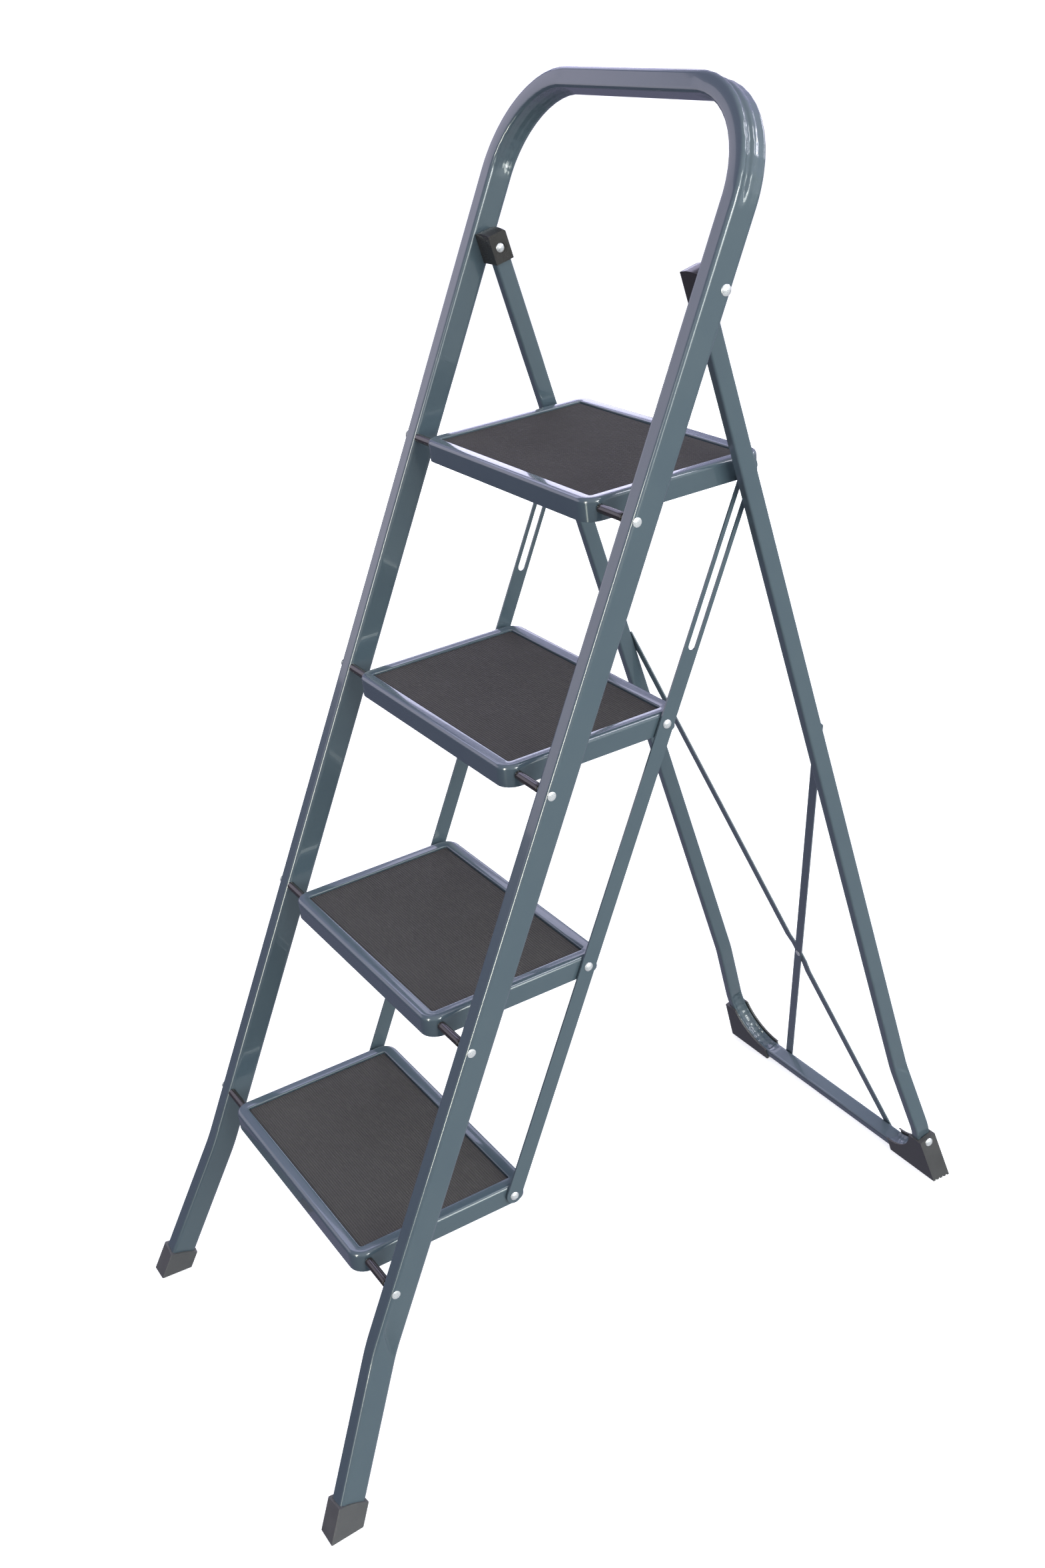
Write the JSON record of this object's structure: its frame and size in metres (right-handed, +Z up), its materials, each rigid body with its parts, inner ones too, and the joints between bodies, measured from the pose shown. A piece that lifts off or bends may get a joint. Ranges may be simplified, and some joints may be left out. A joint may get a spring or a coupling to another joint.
{
  "type": "folding step ladder",
  "caption": "Folding steel step ladder with flat rubber-matted treads, a tubular handrail hoop and a hinged rear frame that folds up with the treads through slotted link bars.",
  "frame": {"origin": "on the floor, under the middle of the open ladder's footprint", "axes": "+Z up, the climbing side faces -Y, the rear frame stands at +Y, +X to the right of a person facing the treads"},
  "size_m": [0.4886, 0.8188, 1.2269],
  "materials": {
    "blue_paint": "gloss",
    "black_plastic": "satin moulded plastic",
    "black_sleeve": "gloss",
    "grey_rubber": "matt, ribbed",
    "zinc_steel": "bright zinc plating"
  },
  "bodies": {
    "front_frame": {"front_frame_tube": "blue_paint", "foot_cap_left": "black_plastic", "foot_cap_right": "black_plastic", "step_axle_1": "zinc_steel", "step_axle_2": "zinc_steel", "step_axle_3": "zinc_steel", "step_axle_4": "zinc_steel", "axle_sleeves": "black_sleeve", "frame_pivot_rivets": "zinc_steel"},
    "rear_frame": {"rear_frame_tube": "blue_paint", "hinge_block_left": "black_plastic", "hinge_block_right": "black_plastic", "corner_shoe_left": "black_plastic", "corner_shoe_right": "black_plastic", "shoe_rivets": "zinc_steel", "cross_brace_flat": "blue_paint", "cross_brace_joggled": "blue_paint", "brace_end_rivets": "zinc_steel", "brace_center_rivet": "zinc_steel", "slot_pins": "zinc_steel"},
    "step_1": {"step_tray_1": "blue_paint", "tread_mat_1": "grey_rubber"},
    "step_2": {"step_tray_2": "blue_paint", "tread_mat_2": "grey_rubber"},
    "step_3": {"step_tray_3": "blue_paint", "tread_mat_3": "grey_rubber"},
    "step_4": {"step_tray_4": "blue_paint", "tread_mat_4": "grey_rubber"},
    "link_bars": {"link_bar_left": "blue_paint", "link_bar_right": "blue_paint", "link_rivets": "zinc_steel", "link_washers": "zinc_steel"}
  },
  "joints": [
    {"name": "rear_frame_fold", "type": "hinge", "parent": "front_frame", "child": "rear_frame", "pos_m": [0, 0.16027, 1.06395], "axis": [-1, 0, 0], "range_deg": [0, 37.67]},
    {"name": "step_1_fold", "type": "hinge", "parent": "front_frame", "child": "step_1", "pos_m": [0, -0.28848, 0.2217], "axis": [1, 0, 0], "range_deg": [0, 55.08]},
    {"name": "step_2_fold", "type": "hinge", "parent": "front_frame", "child": "step_2", "pos_m": [0, -0.17471, 0.44431], "axis": [1, 0, 0], "range_deg": [0, 55.08]},
    {"name": "step_3_fold", "type": "hinge", "parent": "front_frame", "child": "step_3", "pos_m": [0, -0.06094, 0.66693], "axis": [1, 0, 0], "range_deg": [0, 55.08]},
    {"name": "step_4_fold", "type": "hinge", "parent": "front_frame", "child": "step_4", "pos_m": [0, 0.05283, 0.88954], "axis": [1, 0, 0], "range_deg": [0, 55.08]},
    {"name": "link_fold", "type": "hinge", "parent": "step_4", "child": "link_bars", "pos_m": [0, 0.21423, 0.88834], "axis": [1, 0, 0], "range_deg": [-55.08, 0]}
  ],
  "couplings": [
    {"joint": "step_1_fold", "follows": "rear_frame_fold", "ratio": 1.4616},
    {"joint": "step_2_fold", "follows": "rear_frame_fold", "ratio": 1.4616},
    {"joint": "step_3_fold", "follows": "rear_frame_fold", "ratio": 1.4616},
    {"joint": "step_4_fold", "follows": "rear_frame_fold", "ratio": 1.4616},
    {"joint": "link_fold", "follows": "rear_frame_fold", "ratio": -1.4616}
  ]
}
